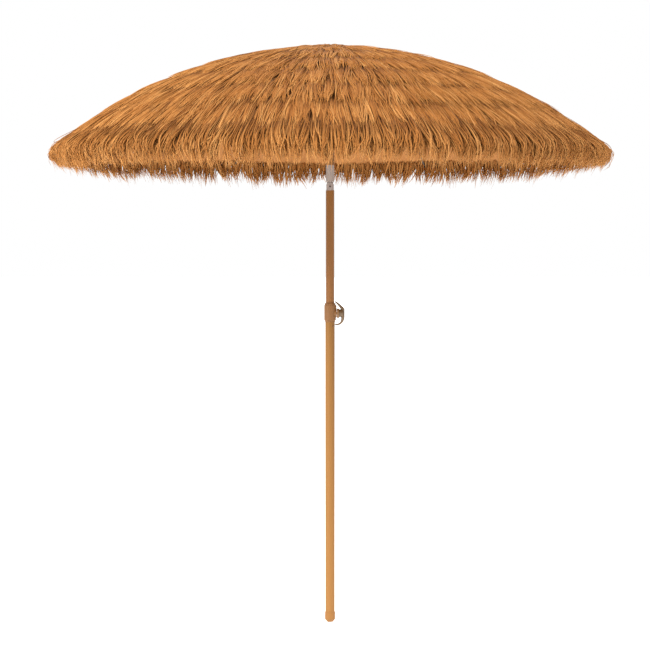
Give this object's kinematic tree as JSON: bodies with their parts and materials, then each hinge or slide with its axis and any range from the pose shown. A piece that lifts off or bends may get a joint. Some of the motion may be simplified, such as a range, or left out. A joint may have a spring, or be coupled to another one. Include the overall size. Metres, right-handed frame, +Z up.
{
  "type": "beach umbrella",
  "caption": "Beach umbrella with a domed layered thatch canopy, tilting mast, and telescoping pole with a clamp collar and bow knob.",
  "frame": {"origin": "centre of the foot cap's bottom face, on the ground, on the pole's axis", "axes": "+Z up along the pole; +X from the pole's axis to the clamp knob; the canopy tilts towards -X"},
  "size_m": [2, 2, 2.055],
  "materials": {
    "pole_tan": "satin",
    "cap_tan": "satin",
    "brass_nut": "satin",
    "rivet_brown": "satin",
    "pad_black": "matte",
    "zinc": "satin",
    "knob_tan": "satin",
    "knob_bronze": "satin",
    "bush_grey": "matte",
    "cast_grey": "satin",
    "button_dark": "satin",
    "hub_black": "satin",
    "rib_rod": "satin",
    "strut_steel": "satin",
    "thatch": "matte"
  },
  "bodies": {
    "root": {"lower_pole": "pole_tan", "foot_cap": "cap_tan", "clamp_collar": "cap_tan", "collar_nut": "brass_nut", "stop_rivet": "rivet_brown"},
    "clamp_pad_body": {"clamp_pad": "pad_black"},
    "clamp_knob": {"clamp_screw": "zinc", "knob_flange": "knob_tan", "knob_loop": "knob_bronze"},
    "upper_section": {"upper_pole": "pole_tan", "guide_bush": "bush_grey", "tilt_fork": "cast_grey", "tilt_pin": "button_dark"},
    "mast": {"tilt_knuckle": "cast_grey", "tilt_spring": "zinc", "mast_tube": "pole_tan", "crown_hub": "hub_black", "crown_pins": "zinc", "crown_cap": "hub_black", "thatch_crown": "thatch"},
    "tilt_button_body": {"tilt_button": "button_dark"},
    "catch_body": {"runner_catch": "zinc"},
    "runner_body": {"runner": "hub_black"},
    "rib_body_1": {"rib_1": "rib_rod", "rib_fittings_1": "hub_black", "canopy_1": "thatch"},
    "strut_body_1": {"strut_1": "strut_steel"},
    "rib_body_2": {"rib_2": "rib_rod", "rib_fittings_2": "hub_black", "canopy_2": "thatch"},
    "strut_body_2": {"strut_2": "strut_steel"},
    "rib_body_3": {"rib_3": "rib_rod", "rib_fittings_3": "hub_black", "canopy_3": "thatch"},
    "strut_body_3": {"strut_3": "strut_steel"},
    "rib_body_4": {"rib_4": "rib_rod", "rib_fittings_4": "hub_black", "canopy_4": "thatch"},
    "strut_body_4": {"strut_4": "strut_steel"},
    "rib_body_5": {"rib_5": "rib_rod", "rib_fittings_5": "hub_black", "canopy_5": "thatch"},
    "strut_body_5": {"strut_5": "strut_steel"},
    "rib_body_6": {"rib_6": "rib_rod", "rib_fittings_6": "hub_black", "canopy_6": "thatch"},
    "strut_body_6": {"strut_6": "strut_steel"},
    "rib_body_7": {"rib_7": "rib_rod", "rib_fittings_7": "hub_black", "canopy_7": "thatch"},
    "strut_body_7": {"strut_7": "strut_steel"},
    "rib_body_8": {"rib_8": "rib_rod", "rib_fittings_8": "hub_black", "canopy_8": "thatch"},
    "strut_body_8": {"strut_8": "strut_steel"}
  },
  "joints": [
    {"name": "height_slide", "type": "slide", "parent": "root", "child": "upper_section", "axis": [0, 0, 1], "range_m": [-0.36, 0.12]},
    {"name": "screw_travel", "type": "slide", "parent": "root", "child": "clamp_pad_body", "axis": [1, 0, 0], "range_m": [0, 0.0016]},
    {"name": "knob_turn", "type": "hinge", "parent": "clamp_pad_body", "child": "clamp_knob", "pos_m": [0.03, 0, 1.1005], "axis": [1, 0, 0], "range_deg": [0, 450]},
    {"name": "tilt", "type": "hinge", "parent": "upper_section", "child": "mast", "pos_m": [0, 0, 1.551], "axis": [0, 1, 0], "range_deg": [-35, 0]},
    {"name": "tilt_button_press", "type": "slide", "parent": "mast", "child": "tilt_button_body", "axis": [0, -1, 0], "range_m": [0, 0.002], "stiffness_N_per_m": 800, "deforming": ["tilt_spring"]},
    {"name": "catch_press", "type": "slide", "parent": "mast", "child": "catch_body", "axis": [0, -1, 0], "range_m": [0, 0.0034], "stiffness_N_per_m": 800},
    {"name": "runner_slide", "type": "slide", "parent": "mast", "child": "runner_body", "axis": [0, 0, -1], "range_m": [0, 0.63087], "deforming": ["canopy_1", "canopy_2", "canopy_3", "canopy_4", "canopy_5", "canopy_6", "canopy_7", "canopy_8", "runner_catch"]},
    {"name": "rib_hinge_1", "type": "hinge", "parent": "mast", "child": "rib_body_1", "pos_m": [0.02217, 0.00918, 2.0248], "axis": [-0.3827, 0.9239, 0], "range_deg": [0, 63.6]},
    {"name": "strut_hinge_1", "type": "hinge", "parent": "rib_body_1", "child": "strut_body_1", "pos_m": [0.38803, 0.16073, 1.95445], "axis": [-0.3827, 0.9239, 0], "range_deg": [-127.2, 0]},
    {"name": "rib_hinge_2", "type": "hinge", "parent": "mast", "child": "rib_body_2", "pos_m": [0.00918, 0.02217, 2.0248], "axis": [-0.9239, 0.3827, 0], "range_deg": [0, 63.6]},
    {"name": "strut_hinge_2", "type": "hinge", "parent": "rib_body_2", "child": "strut_body_2", "pos_m": [0.16073, 0.38803, 1.95445], "axis": [-0.9239, 0.3827, 0], "range_deg": [-127.2, 0]},
    {"name": "rib_hinge_3", "type": "hinge", "parent": "mast", "child": "rib_body_3", "pos_m": [-0.00918, 0.02217, 2.0248], "axis": [-0.9239, -0.3827, 0], "range_deg": [0, 63.6]},
    {"name": "strut_hinge_3", "type": "hinge", "parent": "rib_body_3", "child": "strut_body_3", "pos_m": [-0.16073, 0.38803, 1.95445], "axis": [-0.9239, -0.3827, 0], "range_deg": [-127.2, 0]},
    {"name": "rib_hinge_4", "type": "hinge", "parent": "mast", "child": "rib_body_4", "pos_m": [-0.02217, 0.00918, 2.0248], "axis": [-0.3827, -0.9239, 0], "range_deg": [0, 63.6]},
    {"name": "strut_hinge_4", "type": "hinge", "parent": "rib_body_4", "child": "strut_body_4", "pos_m": [-0.38803, 0.16073, 1.95445], "axis": [-0.3827, -0.9239, 0], "range_deg": [-127.2, 0]},
    {"name": "rib_hinge_5", "type": "hinge", "parent": "mast", "child": "rib_body_5", "pos_m": [-0.02217, -0.00918, 2.0248], "axis": [0.3827, -0.9239, 0], "range_deg": [0, 63.6]},
    {"name": "strut_hinge_5", "type": "hinge", "parent": "rib_body_5", "child": "strut_body_5", "pos_m": [-0.38803, -0.16073, 1.95445], "axis": [0.3827, -0.9239, 0], "range_deg": [-127.2, 0]},
    {"name": "rib_hinge_6", "type": "hinge", "parent": "mast", "child": "rib_body_6", "pos_m": [-0.00918, -0.02217, 2.0248], "axis": [0.9239, -0.3827, 0], "range_deg": [0, 63.6]},
    {"name": "strut_hinge_6", "type": "hinge", "parent": "rib_body_6", "child": "strut_body_6", "pos_m": [-0.16073, -0.38803, 1.95445], "axis": [0.9239, -0.3827, 0], "range_deg": [-127.2, 0]},
    {"name": "rib_hinge_7", "type": "hinge", "parent": "mast", "child": "rib_body_7", "pos_m": [0.00918, -0.02217, 2.0248], "axis": [0.9239, 0.3827, 0], "range_deg": [0, 63.6]},
    {"name": "strut_hinge_7", "type": "hinge", "parent": "rib_body_7", "child": "strut_body_7", "pos_m": [0.16073, -0.38803, 1.95445], "axis": [0.9239, 0.3827, 0], "range_deg": [-127.2, 0]},
    {"name": "rib_hinge_8", "type": "hinge", "parent": "mast", "child": "rib_body_8", "pos_m": [0.02217, -0.00918, 2.0248], "axis": [0.3827, 0.9239, 0], "range_deg": [0, 63.6]},
    {"name": "strut_hinge_8", "type": "hinge", "parent": "rib_body_8", "child": "strut_body_8", "pos_m": [0.38803, -0.16073, 1.95445], "axis": [0.3827, 0.9239, 0], "range_deg": [-127.2, 0]}
  ],
  "couplings": [
    {"joint": "screw_travel", "follows": "knob_turn", "m_per_rad": 0.00019894},
    {"joint": "rib_hinge_1", "follows": "runner_slide", "rad_per_m": 1.7568},
    {"joint": "strut_hinge_1", "follows": "runner_slide", "rad_per_m": -3.5135},
    {"joint": "rib_hinge_2", "follows": "runner_slide", "rad_per_m": 1.7568},
    {"joint": "strut_hinge_2", "follows": "runner_slide", "rad_per_m": -3.5135},
    {"joint": "rib_hinge_3", "follows": "runner_slide", "rad_per_m": 1.7568},
    {"joint": "strut_hinge_3", "follows": "runner_slide", "rad_per_m": -3.5135},
    {"joint": "rib_hinge_4", "follows": "runner_slide", "rad_per_m": 1.7568},
    {"joint": "strut_hinge_4", "follows": "runner_slide", "rad_per_m": -3.5135},
    {"joint": "rib_hinge_5", "follows": "runner_slide", "rad_per_m": 1.7568},
    {"joint": "strut_hinge_5", "follows": "runner_slide", "rad_per_m": -3.5135},
    {"joint": "rib_hinge_6", "follows": "runner_slide", "rad_per_m": 1.7568},
    {"joint": "strut_hinge_6", "follows": "runner_slide", "rad_per_m": -3.5135},
    {"joint": "rib_hinge_7", "follows": "runner_slide", "rad_per_m": 1.7568},
    {"joint": "strut_hinge_7", "follows": "runner_slide", "rad_per_m": -3.5135},
    {"joint": "rib_hinge_8", "follows": "runner_slide", "rad_per_m": 1.7568},
    {"joint": "strut_hinge_8", "follows": "runner_slide", "rad_per_m": -3.5135}
  ]
}
